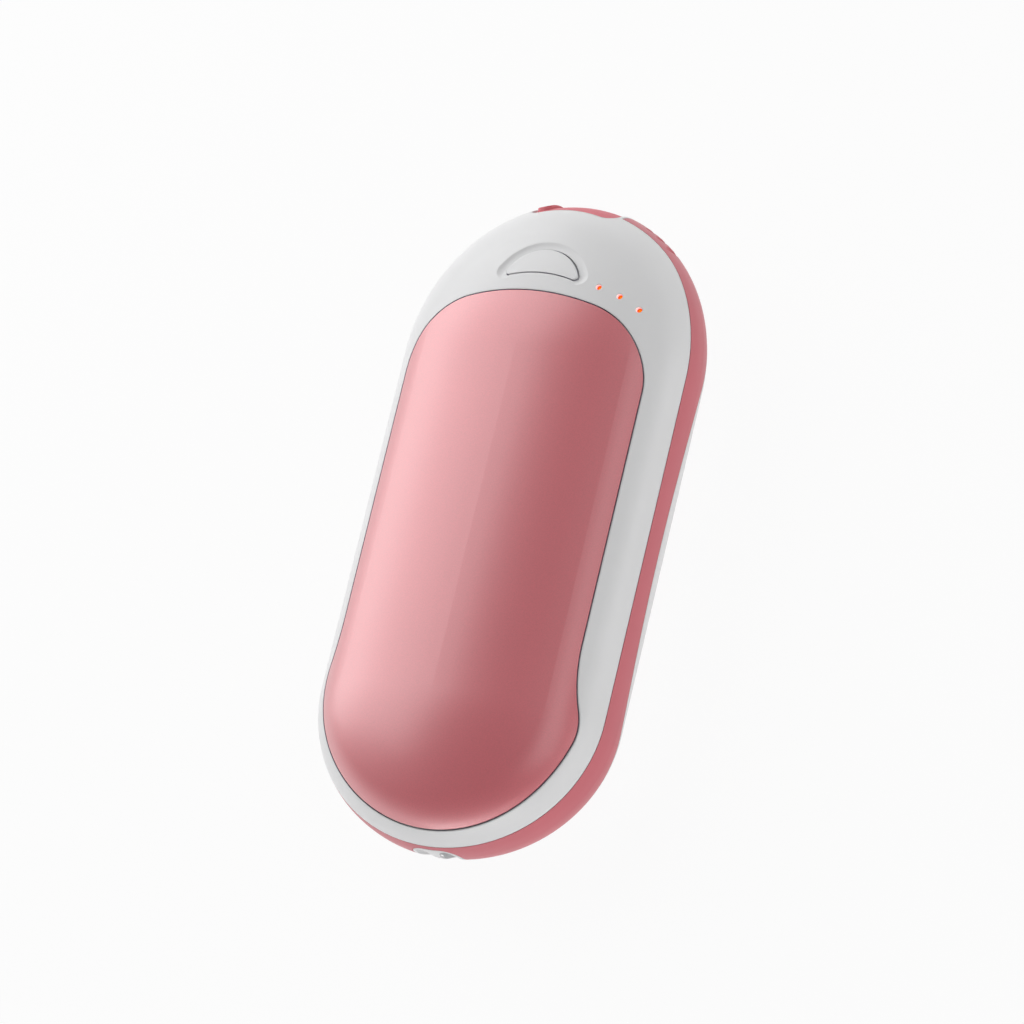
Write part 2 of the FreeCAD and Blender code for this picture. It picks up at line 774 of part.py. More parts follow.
def make_tools():
    """Prisms that several pieces share."""
    tool = {
        "front_window": front_prism("front_window", window_outline("front_window_outline", "no_inset")),
        "rear_window": rear_prism("rear_window", window_outline("rear_window_outline", "no_inset")),
        "front_film": front_prism("front_film", window_outline("front_film_outline", "film_gap")),
        "rear_film": rear_prism("rear_film", window_outline("rear_film_outline", "film_gap")),
        "rear_plate": rear_oval("rear_plate_oval", "rear_plate_width / 2"),
        "cover_opening": cover_prism("cover_opening", "cover_gap"),
        "collar": cover_prism("collar_outside", "collar_growth"),
    }
    for name, x, y, low, high in screw_places():
        upper = (high + " + boss_gap", "front_height")
        tool["boss_" + name] = rod("front_boss_" + name, x, y, upper, "boss_diameter")
        lower = ("-rear_height", low + " - boss_gap")
        tool["stud_" + name] = rod("rear_boss_" + name, x, y, lower, "boss_diameter")
        bore = "screw_diameter + screw_gap"
        tip = "screw_length + screw_head_height - screw_head_level + overrun / 2"
        tool["bore_" + name] = rod("screw_bore_" + name, x, y, ("-rear_height", tip), bore)
        head = ("-rear_height", "screw_head_height - screw_head_level + screw_gap")
        tool["well_" + name] = rod("screw_well_" + name, x, y, head, "screw_head_diameter + screw_gap")
    return tool


def named(tool, prefix):
    return [item for name, item in tool.items() if name.startswith(prefix)]


def button_moat():
    """The soft dish that runs round the back of the button, with round ends."""
    spare = "(%d - moat_sweep) / 2" % HALF_TURN
    ring = make("Part::Torus", "moat_ring")
    ring.Placement = Placement(Vector(), Rotation(Z_AXIS, number(spare)))
    bind(ring, {"Radius1": "moat_ring_radius", "Radius2": "moat_tube_radius", "Angle3": "moat_sweep"})
    balls = []
    for side, sign in (("left", "-"), ("right", "")):
        ball = make("Part::Sphere", "moat_%s_end" % side)
        balls.append(bind(ball, {
            "Radius": "moat_tube_radius",
            "Placement.Base.x": "%smoat_ring_radius * cos(%s)" % (sign, spare),
            "Placement.Base.y": "moat_ring_radius * sin(%s)" % spare,
        }))
    item = fuse("button_moat", ring, *balls)
    turn = Rotation(Y_AXIS, number("moat_lean")).multiply(Rotation(X_AXIS, -number("moat_tilt")))
    item.Placement = Placement(Vector(), turn)
    return bind(item, {
        "Placement.Base.x": "button_offset",
        "Placement.Base.y": "button_centre",
        "Placement.Base.z": "rear_height + moat_level",
    })


def make_front_shell(form, layer, tool):
    upper = cut("front_half", layer["wall"], below_front_seam("below_front_shell", "seam_gap"))
    sleeve = block("collar_room", ("-body_width", "body_width"), ("port_plate_inner", "half_length"),
                   ("-rear_height", "front_height"))
    ring = cut("collar_ring", tool["collar"], tool["cover_opening"])
    collar = common("port_collar", form["outer"], common("collar_sleeve", ring, sleeve))
    bosses = common("front_bosses", form["seat"], fuse("front_boss_rods", *named(tool, "boss_")))
    solid = fuse("front_shell_solid", upper, collar, bosses)
    outline = plate_outline("front_recess_outline", "plate_gap")
    recess = cut("front_recess", front_prism("front_recess_prism", outline), form["seat"])
    hole = front_prism("button_hole", button_outline("button_hole_outline", "button_gap"))
    lights = [rod("lens_hole_%d" % k, *light_place(k), ("0", "front_height"), "lens_diameter + fit_gap")
              for k in range(LIGHT_COUNT)]
    shell = cut("front_shell_cut", solid, recess, tool["front_window"], tool["cover_opening"], hole,
                button_moat(), *lights, *named(tool, "bore_"))
    piece(shell, "front_shell")


def make_rear_shell(form, layer, tool):
    lower = cut("rear_half", layer["wall"], above_rear_seam("above_rear_shell", "seam_gap"))
    studs = common("rear_bosses", form["seat"], fuse("rear_boss_rods", *named(tool, "stud_")))
    oval = rear_oval("rear_recess_oval", "rear_plate_width / 2 + plate_gap")
    recess = cut("rear_recess", oval, form["seat"])
    solid = fuse("rear_shell_solid", lower, studs)
    shell = cut("rear_shell_cut", solid, recess, tool["rear_window"], *named(tool, "bore_"),
                *named(tool, "well_"))
    piece(shell, "rear_shell")


def grip_groove(index):
    """A seed-shaped hollow in the shoulder of the band, as a body that is mostly outside it."""
    item = make("Part::Ellipsoid", "grip_groove_%d" % index)
    over = "((cover_width / 2 + groove_clearance + groove_pitch * %d) / half_width)" % index
    along = "sqrt(1 - %s ^ 2)" % over
    lean = "sqrt((%s / half_width) ^ 2 + (%s / top_end_length) ^ 2)" % (over, along)
    out = "(groove_radius - groove_depth)"
    return bind(item, {
        "Radius1": "groove_half_height",
        "Radius2": "groove_radius",
        "Radius3": "groove_radius",
        "Placement.Base.x": "half_width * {0} + {1} * {0} / half_width / {2}".format(over, out, lean),
        "Placement.Base.y": "top_start + top_end_length * {0} + {1} * {0} / top_end_length / {2}".format(
            along, out, lean),
        "Placement.Base.z": "rear_height + groove_level",
    })


def make_side_band(layer):
    zone = common("band_zone", below_front_seam("below_band_top", "no_inset"),
                  above_rear_seam("above_band_foot", "no_inset"))
    lip_zone = common("lip_zone", below_front_seam("below_lip_top", "lip_reach"),
                      above_rear_seam("above_lip_foot", "lip_reach"))
    hoop = common("band_hoop", layer["band"], zone)
    lip = common("band_lip", layer["lip"], lip_zone)
    solid = fuse("band_solid", hoop, lip)
    grooves = [grip_groove(k) for k in range(GROOVE_COUNT)]
    collar_hole = cover_prism("collar_hole", "collar_hole_growth")
    anchor_hole = anchor_prism("anchor_hole", "fit_gap")
    piece(cut("band_cut", solid, collar_hole, anchor_hole, *grooves), "side_band")


def make_plates(layer, tool):
    plan = front_prism("front_plate_prism", plate_outline("front_plate_outline", "no_inset"))
    piece(common("front_plate_cut", layer["plate"], plan), "front_heat_plate")
    piece(common("rear_plate_cut", layer["plate"], tool["rear_plate"]), "rear_heat_plate")
    outline = plate_outline("front_tape_outline", "tape_growth")
    rim = cut("front_tape_rim", front_prism("front_tape_prism", outline), tool["front_window"])
    piece(common("front_tape_cut", layer["tape"], rim), "front_plate_tape")
    rear_rim = cut("rear_tape_rim", rear_oval("rear_tape_oval", "rear_plate_width / 2 - tape_inset"),
                   tool["rear_window"], *named(tool, "well_"))
    piece(common("rear_tape_cut", layer["tape"], rear_rim), "rear_plate_tape")


def make_heaters(layer, tool):
    piece(common("front_film_cut", layer["tape"], tool["front_film"]), "front_heater_film")
    piece(common("rear_film_cut", layer["tape"], tool["rear_film"]), "rear_heater_film")
    place = ("0", "half_length - sensor_margin", ("0", "front_height"))
    hole = rod("sensor_hole", *place, "sensor_diameter + film_gap * 2")
    front = common("front_pad_cut", layer["pad"], tool["front_film"])
    piece(cut("front_pad_holed", front, hole), "front_insulation_pad")
    piece(common("rear_pad_cut", layer["pad"], tool["rear_film"]), "rear_insulation_pad")
    sensor = rod("sensor_rod", *place, "sensor_diameter")
    piece(common("sensor_cut", layer["pad"], sensor), "temperature_sensor")


def make_button(form, layer):
    plan = front_prism("button_prism", button_outline("button_plan", "no_inset"))
    cap = common("button_cap", layer["band"], plan)
    rim = front_prism("button_rim_prism", button_outline("button_rim_plan", "button_flange"))
    flange = common("button_rim", layer["lip"], rim)
    post = rod("button_post_rod", "button_offset", "switch_centre", ("plunger_top", "front_height"),
               "button_post_diameter")
    stem = common("button_post", form["lip_outer"], post)
    piece(fuse("button_solid", cap, flange, stem), "power_button")


def make_lights(form):
    tall = ("board_top + chip_height + lens_gap + lens_recess", "front_height")
    rods = [rod("lens_rod_%d" % k, *light_place(k), tall, "lens_diameter") for k in range(LIGHT_COUNT)]
    lenses = [bind(common("lens_%d" % k, form["outer"], rods[k]), {"Placement.Base.z": "-lens_recess"})
              for k in range(LIGHT_COUNT)]
    piece(group("lens_group", *lenses), "indicator_lenses")
    chips = [slab("chip_%d" % k, light_place(k)[0], "chip_length", light_place(k)[1], "chip_width",
                  ("board_top", "board_top + chip_height")) for k in range(LIGHT_COUNT)]
    piece(group("chip_group", *chips), "indicator_chips")


def make_cover(form):
    outline = sketch("tab_outline", "XZ")
    rounded_outline(outline, ("-(tab_offset + tab_width / 2)", "-(tab_offset - tab_width / 2)"),
                    ("-tab_low", "tab_high"), "tab_corner_radius")
    room = block("cover_room", ("-body_width", "body_width"), ("cover_inner", "half_length + overrun"),
                 ("-rear_height", "front_height"))
    plan = common("cover_plan", cover_prism("cover_outline_prism", "no_inset"), room)
    cap = common("cover_cap", form["cover_top"], plan)
    tab = common("cover_tab", cut("tab_layer", form["tab_top"], form["inner"]),
                 common("tab_plan", prism("tab_prism", outline, Y_AXIS, "half_length + overrun"), room))
    nubs = [nub("outlet", "outlet_width", "outlet_low", "outlet_top"),
            nub("inlet", "inlet_width", "inlet_low", "inlet_low + inlet_height")]
    piece(fuse("cover_solid", cap, tab, *nubs), "port_cover")


def nub(socket, width, low, high):
    """The part of the cover that plugs the mouth of a socket, clear of its walls."""
    wide = "(%s / 2 - nub_clearance)" % width
    along = ("cover_inner - nub_depth", "cover_inner + nub_clearance")
    tall = ("%s + nub_clearance" % low, "%s - nub_clearance" % high)
    return block(socket + "_nub", ("-" + wide, wide), along, tall)


def tether_place():
    """Middle of the tether between the inlet and the edge of the port plate."""
    return "(inlet_width / 2 + cover_width / 2) / 2 + fit_gap"


def make_port_plate():
    room = block("port_plate_room", ("-body_width", "body_width"), ("port_plate_inner", "port_plate_outer"),
                 ("-rear_height", "front_height"))
    blank = common("port_plate_blank", cover_prism("port_plate_prism", "port_plate_growth"), room)
    along = ("port_plate_inner - overrun", "half_length")
    half_outlet, half_inlet = "(outlet_width / 2 + fit_gap)", "(inlet_width / 2 + fit_gap)"
    outlet = block("outlet_aperture", ("-" + half_outlet, half_outlet), along,
                   ("outlet_low - fit_gap", "outlet_top + fit_gap"))
    inlet = block("inlet_aperture", ("-" + half_inlet, half_inlet), along,
                  ("inlet_low - fit_gap", "inlet_low + inlet_height + fit_gap"))
    half = "(tether_height / 2 + fit_gap)"
    slot = slab("tether_slot", tether_place(), "tether_width + fit_gap * 2", "port_plate_outer", "overrun",
                ("tether_level - " + half, "tether_level + " + half))
    piece(cut("port_plate_cut", blank, outlet, inlet, slot), "port_plate")
    tall = ("tether_level - tether_height / 2", "tether_level + tether_height / 2")
    middle = tether_place()
    strap = block("tether_strap", (middle + " - tether_width / 2", middle + " + tether_width / 2"),
                  ("port_plate_outer - tether_bead_depth", "port_plate_outer"), tall)
    bead = rod("tether_bead", middle, "port_plate_outer - tether_bead_depth", tall, "tether_bead_diameter")
    piece(fuse("tether_solid", strap, bead), "cover_tether")


def make_anchor(form):
    room = block("anchor_room", ("-body_width", "body_width"), ("-half_length", "anchor_depth - half_length"),
                 ("-rear_height", "front_height"))
    plan = common("anchor_plan", anchor_prism("anchor_outline_prism", "no_inset"), room)
    plug = common("anchor_plug", form["outer"], plan)
    ring = make("Part::Torus", "anchor_ring")
    bind(ring, {"Radius1": "anchor_ring_radius", "Radius2": "anchor_eye_width / 2"})
    eye = make("Part::Scale", "anchor_eye")
    eye.Base = ring
    eye.Uniform = False
    bind(eye, {
        "ZScale": "anchor_eye_height / anchor_eye_width",
        "Placement.Base.y": "-half_length",
        "Placement.Base.z": "rear_height + (anchor_high - anchor_low) / 2",
    })
    piece(cut("anchor_cut", plug, eye), "lanyard_anchor")


def body_sketch(body, name, role):
    """A sketch on one of a body's own planes."""
    item = body.newObject("Sketcher::SketchObject", name)
    plane = [feature for feature in body.Origin.OriginFeatures if feature.Role == role][0]
    item.AttachmentSupport = (plane, [""])
    item.MapMode = "FlatFace"
    return item


def feature(body, kind, name, profile, sizes):
    item = body.newObject("PartDesign::" + kind, name)
    item.Profile = profile
    return bind(item, sizes)


def circle_at(item, x, y, diameter):
    index = item.addGeometry(Part.Circle(Vector(number(x), number(y), 0), Z_AXIS, number(diameter) / 2))
    place_point(item, index, CENTRE, x=x, y=y)
    dimension(item, "Diameter", (index,), diameter)


def make_cell(label, x):
    """A round cell standing along the body, with its contact nub at the top."""
    body = make("PartDesign::Body", label + "_body")
    outline = body_sketch(body, label + "_half", "XY_Plane")
    can, nub_size = number("cell_diameter / 2"), number("cell_nub_diameter / 2")
    shoulder, length = number("cell_length - cell_nub_height"), number("cell_length")
    points = [(0, 0), (can, 0), (can, shoulder), (nub_size, shoulder), (nub_size, length), (0, length)]
    for k, (x0, y0) in enumerate(points):
        line(outline, x0, y0, *points[(k + 1) % len(points)])
    join(outline, "Coincident", *[(k, END, (k + 1) % len(points), START) for k in range(len(points))])
    level(outline, 0, 2, 4)
    upright(outline, 1, 3, 5)
    place_point(outline, 0, START, x="0", y="0")
    place_point(outline, 2, START, x="cell_diameter / 2", y="cell_length - cell_nub_height")
    place_point(outline, 4, START, x="cell_nub_diameter / 2", y="cell_length")
    turned = feature(body, "Revolution", label + "_turned", outline, {})
    turned.ReferenceAxis = (outline, ["V_Axis"])
    turned.Angle = FULL_TURN
    bind(body, {
        "Placement.Base.x": x,
        "Placement.Base.y": "cell_start",
        "Placement.Base.z": "rear_height + cell_level",
    })
    piece(body, label)


def make_holder(label, cell_face, outward, tab_x):
    """A cap over one end of both cells: a rounded block with two bores, weld holes and room for the strip."""
    floor = "%s %s strip_thickness %s fit_gap" % (cell_face, outward, outward)
    end_wall = "%s %s holder_wall" % (floor, outward)
    mouth = "%s %s holder_grip" % (cell_face, "+" if outward == "-" else "-")
    wide = "holder_width / 2"
    outline = sketch(label + "_outline", "XZ")
    rounded_outline(outline, ("-" + wide, wide), ("-holder_low", "holder_high"), "holder_corner_radius")
    whole, bored, strip_room = [sorted(ends, key=number) for ends in (
        (end_wall, mouth), (floor, mouth), (floor, cell_face))]
    room = block(label + "_room", ("-body_width", "body_width"), whole, ("-rear_height", "front_height"))
    bar = prism(label + "_prism", outline, Y_AXIS, "half_length", "half_length")
    solid = common(label + "_solid", bar, room)
    half = "(strip_width / 2 + fit_gap)"
    half_bar = "(strip_length / 2 + fit_gap)"
    half_tab = "(strip_tab_width / 2 + fit_gap)"
    tools = [
        block(label + "_bar_slot", ("-" + half_bar, half_bar), strip_room,
              ("cell_level - " + half, "cell_level + " + half)),
        block(label + "_tab_slot", (tab_x + " - " + half_tab, tab_x + " + " + half_tab), strip_room,
              ("cell_level - " + half, "holder_high + overrun")),
    ]
    for side, sign in (("left", "-"), ("right", "")):
        x = sign + "cell_pitch / 2"
        tools.append(level_rod("%s_%s_bore" % (label, side), x, bored, "cell_diameter + fit_gap * 2"))
        tools.append(level_rod("%s_%s_hole" % (label, side), x, whole, "holder_hole_diameter"))
    piece(cut(label + "_cut", solid, *tools), label)


def level_rod(name, x, y, diameter):
    """A cylinder lying along the body at the level of the cells."""
    item = make("Part::Cylinder", name)
    item.Placement = Placement(Vector(), Rotation(X_AXIS, -QUARTER_TURN))
    low, high = y
    return bind(item, {
        "Radius": "(%s) / 2" % diameter,
        "Height": "(%s) - (%s)" % (high, low),
        "Placement.Base.x": x,
        "Placement.Base.y": low,
        "Placement.Base.z": "rear_height + cell_level",
    })


def make_strip(label, y, tab_x):
    """A thin bar welded across both cells, with a tab that its lead is soldered to."""
    low = "cell_level - strip_width / 2"
    high = "cell_level + strip_width / 2"
    bar = slab(label + "_bar", "0", "strip_length", y, "strip_thickness", (low, high))
    tab = slab(label + "_tab", tab_x, "strip_tab_width", y, "strip_thickness", (low, "strip_tab_level"))
    piece(fuse(label + "_solid", bar, tab), label)


def make_lead(label, x, start):
    """An insulated wire that runs level from a strip's tab and bends down to the board."""
    path = sketch(label + "_path", "YZ")
    bind(path, {"Placement.Base.x": x})
    high, bend = number("lead_level"), number("lead_bend_radius")
    foot_y, foot_z = number("half_length - lead_foot_margin"), number("board_top")
    line(path, number(start), high, foot_y - bend, high)
    arc(path, foot_y - bend, high - bend, bend, 0, pi / 2)
    line(path, foot_y, high - bend, foot_y, foot_z)
    join(path, "Tangent", (0, END, 1, END), (1, START, 2, START))
    level(path, 0)
    upright(path, 2)
    place_point(path, 0, START, x=start, y="lead_level")
    place_point(path, 2, END, x="half_length - lead_foot_margin", y="board_top")
    dimension(path, "Radius", (1,), "lead_bend_radius")
    section = make("Part::Circle", label + "_section")
    section.Placement = Placement(Vector(), Rotation(X_AXIS, QUARTER_TURN))
    bind(section, {
        "Radius": "lead_diameter / 2",
        "Placement.Base.x": x,
        "Placement.Base.y": start,
        "Placement.Base.z": "rear_height + lead_level",
    })
    item = make("Part::Sweep", label + "_sweep")
    item.Sections = [section]
    item.Spine = (path, ["Edge1", "Edge2", "Edge3"])
    item.Solid = True
    piece(item, label)


def make_cells():
    make_cell("cell_left", "-cell_pitch / 2")
    make_cell("cell_right", "cell_pitch / 2")
    make_holder("lower_cell_holder", "cell_start", "-", "0")
    make_holder("upper_cell_holder", "cell_end", "+", "-positive_lead_offset")
    make_strip("lower_strip", "cell_start - strip_thickness / 2", "0")
    make_strip("upper_strip", "cell_end + strip_thickness / 2", "-positive_lead_offset")
    make_lead("negative_lead", "0", "cell_start")
    make_lead("positive_lead", "-positive_lead_offset", "cell_end + strip_thickness")


def make_board():
    """The board, rounded to the top end of the case, with two holes for the case screws."""
    body = make("PartDesign::Body", "board_body")
    outline = body_sketch(body, "board_outline", "XY_Plane")
    half, length = number("board_width / 2"), number("board_length")
    corner = number("board_corner_radius")
    line(outline, -half, -length, half, -length)
    line(outline, half, -length, half, -corner)
    arc(outline, half - corner, -corner, corner, 0, pi / 2)
    line(outline, half - corner, 0, corner - half, 0)
    arc(outline, corner - half, -corner, corner, pi / 2, pi)
    line(outline, -half, -corner, -half, -length)
    join(outline, "Coincident", (0, END, 1, START), (5, END, 0, START))
    join(outline, "Tangent", *[(k, END, k + 1, START) for k in range(1, 5)])
    level(outline, 0, 3)
    upright(outline, 1, 5)
    outline.addConstraint(Sketcher.Constraint("Equal", 2, 4))
    dimension(outline, "Radius", (2,), "board_corner_radius")
    place_point(outline, 0, END, x="board_width / 2", y="-board_length")
    place_point(outline, 0, START, x="-board_width / 2")
    place_point(outline, 3, START, y="0")
    for sign in ("", "-"):
        circle_at(outline, sign + "top_screw_offset", "board_margin - top_screw_margin",
                  "screw_diameter + screw_gap * 4")
    feature(body, "Pad", "board_pad", outline, {"Length": "board_thickness"})
    bind(body, {"Placement.Base.y": "board_end", "Placement.Base.z": "rear_height + board_level"})
    piece(body, "circuit_board")


def make_switch():
    place = ("button_offset", "switch_width", "switch_centre", "switch_width")
    housing = slab("switch_block", *place, ("board_top", "switch_top"))
    low = "switch_top - plunger_depth"
    centre = ("button_offset", "switch_centre")
    bore = rod("switch_bore", *centre, (low + " - button_travel - plunger_gap", "switch_top"),
               "plunger_diameter + plunger_gap * 2")
    piece(cut("switch_cut", housing, bore), "switch_housing")
    piece(rod("plunger_rod", *centre, (low, "plunger_top"), "plunger_diameter"), "switch_plunger")


def make_board_parts():
    outline = sketch("inductor_outline", "XY")
    half = "inductor_width / 2"
    along = "(half_length - inductor_margin)"
    rounded_outline(outline, ("-inductor_offset - " + half, "-inductor_offset + " + half),
                    (along + " - " + half, along + " + " + half), "inductor_corner_radius")
    tall = prism("inductor_prism", outline, Z_AXIS, "board_level")
    deep = prism("inductor_deep_prism", outline, Z_AXIS, "0", "inductor_height - board_level")
    piece(fuse("inductor_solid", tall, deep), "power_inductor")
    place = ("half_length - control_margin", "control_width")
    top = slab("control_top", "-control_offset", "control_width", *place,
               ("board_top", "board_top + control_height"))
    back = slab("control_back", "control_back_offset", "control_width", *place,
                ("board_level - control_height", "board_level"))
    piece(group("control_group", top, back), "control_chips")
    tall = ("board_top", "board_top + capacitor_width")
    row = [slab("capacitor_%d" % k, "-capacitor_offset - capacitor_pitch * %d" % k, "capacitor_width",
                "half_length - capacitor_margin", "capacitor_length", tall) for k in range(CAPACITOR_COUNT)]
    piece(group("capacitor_group", *row), "board_capacitors")


def make_socket(label, width, height, length, wall, low, core_length, tongue_width, tongue):
    """A folded metal shell open at the port plate, with a moulded core and its contact tongue."""
    mouth = "port_plate_outer"
    half = "(%s / 2)" % width
    high = "%s + %s" % (low, height)
    inside = ("-(%s - %s)" % (half, wall), "(%s - %s)" % (half, wall))
    solid = block(label + "_block", ("-" + half, half), ("%s - %s" % (mouth, length), mouth), (low, high))
    room = block(label + "_room", inside, ("%s - %s - overrun" % (mouth, length), mouth + " + overrun"),
                 ("%s + %s" % (low, wall), "%s - %s" % (high, wall)))
    piece(cut(label + "_tube", solid, room), label + "_shell")
    back = ("%s - %s" % (mouth, length), "%s - %s + %s" % (mouth, length, core_length))
    rear = block(label + "_rear", inside, back, ("%s + %s" % (low, wall), "%s - %s" % (high, wall)))
    half_tongue = "(%s / 2)" % tongue_width
    blade = block(label + "_blade", ("-" + half_tongue, half_tongue),
                  ("%s - %s" % (mouth, length), mouth + " - tongue_recess"), tongue)
    piece(fuse(label + "_core_solid", rear, blade), label + "_core")


def make_sockets():
    drop = "outlet_top - outlet_wall - outlet_tongue_drop"
    make_socket("outlet", "outlet_width", "outlet_height", "outlet_length", "outlet_wall", "outlet_low",
                "outlet_core_length", "outlet_tongue_width", (drop + " - outlet_tongue_thickness", drop))
    middle = "inlet_low + inlet_height / 2"
    make_socket("inlet", "inlet_width", "inlet_height", "inlet_length", "inlet_wall", "inlet_low",
                "inlet_core_length", "inlet_tongue_width",
                (middle + " - inlet_tongue_thickness / 2", middle + " + inlet_tongue_thickness / 2"))


def make_screws():
    screws = []
    shoulder = "screw_head_height - screw_head_level"
    for name, x, y, low, high in screw_places():
        head = rod("screw_head_" + name, x, y, ("-screw_head_level", shoulder), "screw_head_diameter")
        shank = rod("screw_shank_" + name, x, y, (shoulder, shoulder + " + screw_length"), "screw_diameter")
        screws.append(fuse("screw_" + name, head, shank))
    piece(group("screw_group", *screws), "case_screws")


def ribbon(name, x, points):
    """A flat ribbon bent square: its edge-on outline is drawn out across the body about a middle place."""
    outline = sketch(name + "_outline", "YZ")
    bind(outline, {"Placement.Base.x": x + " - ribbon_width / 2"})
    places = [(number(y), number(z)) for y, z in points]
    for k, (y0, z0) in enumerate(places):
        line(outline, y0, z0, *places[(k + 1) % len(places)])
    join(outline, "Coincident", *[(k, END, (k + 1) % len(places), START) for k in range(len(places))])
    for k, (y, z) in enumerate(points):
        place_point(outline, k, START, x=y, y=z)
    return prism(name, outline, X_AXIS, "ribbon_width")


def make_ribbons(form):
    """Each film's flat lead: off the film's edge, level below the board's end and up or down to the board."""
    edge = "half_length - window_top_margin - film_gap"
    turn = "half_length - ribbon_margin"
    thick = "ribbon_thickness"
    front = [(edge, "front_height"), (edge, "front_ribbon_level"), (turn, "front_ribbon_level"),
             (turn, "board_top"), (turn + " + ribbon_foot", "board_top"),
             (turn + " + ribbon_foot", "board_top + " + thick),
             (turn + " + " + thick, "board_top + " + thick),
             (turn + " + " + thick, "front_ribbon_level + " + thick),
             (edge + " + " + thick, "front_ribbon_level + " + thick), (edge + " + " + thick, "front_height")]
    bent = ribbon("front_ribbon", "front_ribbon_offset", front)
    piece(common("front_ribbon_cut", form["plate_back"], bent), "front_heater_lead")
    rear = [(edge, "-rear_height"), (edge, "-rear_ribbon_level"), (turn, "-rear_ribbon_level"),
            (turn, "board_level"), (turn + " + ribbon_foot", "board_level"),
            (turn + " + ribbon_foot", "board_level - " + thick),
            (turn + " + " + thick, "board_level - " + thick),
            (turn + " + " + thick, "-rear_ribbon_level - " + thick),
            (edge + " + " + thick, "-rear_ribbon_level - " + thick), (edge + " + " + thick, "-rear_height")]
    bent = ribbon("rear_ribbon", "-rear_ribbon_offset", rear)
    piece(common("rear_ribbon_cut", form["plate_back"], bent), "rear_heater_lead")


def write_pieces():
    """Checks every object, then writes each piece to its own file."""
    doc.recompute()
    failed = [item.Name for item in doc.Objects if "Invalid" in item.State or "Error" in item.State]
    broken = [item.Label for item in pieces if item.Shape.isNull() or not item.Shape.isValid()]
    if failed or broken:
        raise RuntimeError("failed: %s, broken: %s" % (failed, broken))
    os.makedirs("parts", exist_ok=True)
    for item in pieces:
        solids = item.Shape.Solids
        shape = solids[0] if len(solids) == 1 else Part.makeCompound(solids)
        shape.exportStep("parts/%s.step" % item.Label)
        print(item.Label, len(solids), round(shape.Volume, 2))


def main():
    fill_sheet()
    form, layer = make_forms()
    tool = make_tools()
    make_front_shell(form, layer, tool)
    make_rear_shell(form, layer, tool)
    make_side_band(layer)
    make_plates(layer, tool)
    make_heaters(layer, tool)
    make_button(form, layer)
    make_lights(form)
    make_cover(form)
    make_port_plate()
    make_anchor(form)
    make_cells()
    make_board()
    make_switch()
    make_board_parts()
    make_sockets()
    make_screws()
    make_ribbons(form)
    write_pieces()


main()
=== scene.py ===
import math

import bmesh
import bpy
from mathutils import Matrix, Vector

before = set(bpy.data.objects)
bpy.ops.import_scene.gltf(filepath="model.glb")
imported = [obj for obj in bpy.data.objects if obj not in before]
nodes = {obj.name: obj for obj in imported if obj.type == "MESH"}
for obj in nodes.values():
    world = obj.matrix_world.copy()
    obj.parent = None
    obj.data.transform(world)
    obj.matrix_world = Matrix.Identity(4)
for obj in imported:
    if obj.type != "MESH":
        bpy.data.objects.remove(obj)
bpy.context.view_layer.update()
MM = 0.001

# Camera found from the photo's outline and seams, in millimetres and degrees about the middle of the body's waist,
# and what it sees, in metres
PHOTO_WIDTH = 1024
FOCAL_PIXELS = 5746.381
YAW, PITCH, ROLL = -28.96, -14.314, -13.604
CAMERA_SHIFT = (-0.085, 5.102, 845.076)
WAIST_OFFSET = (0.0, -2.78, 10.5)
SENSOR = 36.0
CLIP_START, CLIP_END = 0.01, 20.0
DIMENSIONS = 3

# Colours, as linear red, green and blue
WHITE = (0.84, 0.84, 0.845)
PINK = (0.7, 0.102, 0.132)
BAND_PINK = (0.64, 0.158, 0.188)
# painted shade inside narrow gaps, on the front shell and the heat plates
GAP_SHADE = (0.1, 0.045, 0.24)
LENS_MIDDLE, LENS_RIM = (1.0, 0.22, 0.0), (1.0, 0.03, 0.0)
LENS_BODY_MIDDLE, LENS_BODY_RIM = (0.2, 0.04, 0.0), (0.2, 0.006, 0.0)
# painted glow of the lit lenses on the walls of their holes
HOLE_GLOW = (1.0, 0.52, 0.5)
FLOOR_GREY = (0.9, 0.9, 0.9)

# Lengths of the looks, in millimetres
GAP_REACH = 0.3
LENS_RADIUS = 0.375
CLOUD = 12.0
SAME_POINT = 0.01

# Shares and settings of the looks
NOISE_LOW, NOISE_HIGH = 0.3, 0.7
FINE_DETAIL, CLOUD_DETAIL = 3.0, 4.0
GLOSS_SPREAD = 0.1
RELIEF_STRENGTH = 0.35
EDGE_SAMPLES, GAP_SAMPLES = 6, 6
LENS_RAMP_SHARES = (0.2, 0.9)
LENS_SHINE, LENS_ROUGH = 0.15, 0.3
BUTTON_SHARE, SILICONE_SHARE = 1.02, 1.15
# reach and strength of the painted glow on the lens holes' walls
HOLE_SPARE_SHARE = 1.01
HOLE_GLOW_STRENGTH = 0.5
IN_PLAN = (1.0, 1.0, 0.0)

# Lamps: direction from the object, distance and size in metres, power in watts
LAMPS = {
    "key": ((-0.8, 0.48, 0.38), 0.6, (0.75, 0.16), 1.05),
    "wide": ((-0.6, 0.32, 0.73), 0.6, (0.75, 0.42), 1.45),
    "edge": ((0.56, 0.12, 0.82), 0.7, (0.9, 0.34), 0.75),
    "right_rim": ((0.98, -0.15, 0.07), 0.7, (0.9, 0.08), 0.9),
    "foot_rim": ((0.1, -0.99, 0.04), 0.7, (0.7, 0.06), 1.0),
}
# The world is bright at the horizon and dim above, between two heights of a direction that is one long
HORIZON_HEIGHT, HORIZON_LIGHT = 0.05, 1.3
SKY_HEIGHT, SKY_LIGHT = 0.35, 0.19

# The floor lies just under the rest flat, in metres, and glows for what looks at it, apart from a share for shadows
FLOOR_HALF, FLOOR_LEVEL = 1.5, -0.00005
FLOOR_ROUGH = 0.9
FLOOR_GLOW_SHARE = 0.93
SEEING_RAYS = ("Is Camera Ray", "Is Glossy Ray", "Is Transmission Ray")

# Sockets of mix nodes, which Blender numbers because several share a name
FACTOR, FIRST, SECOND, COLOUR = 0, 6, 7, 2


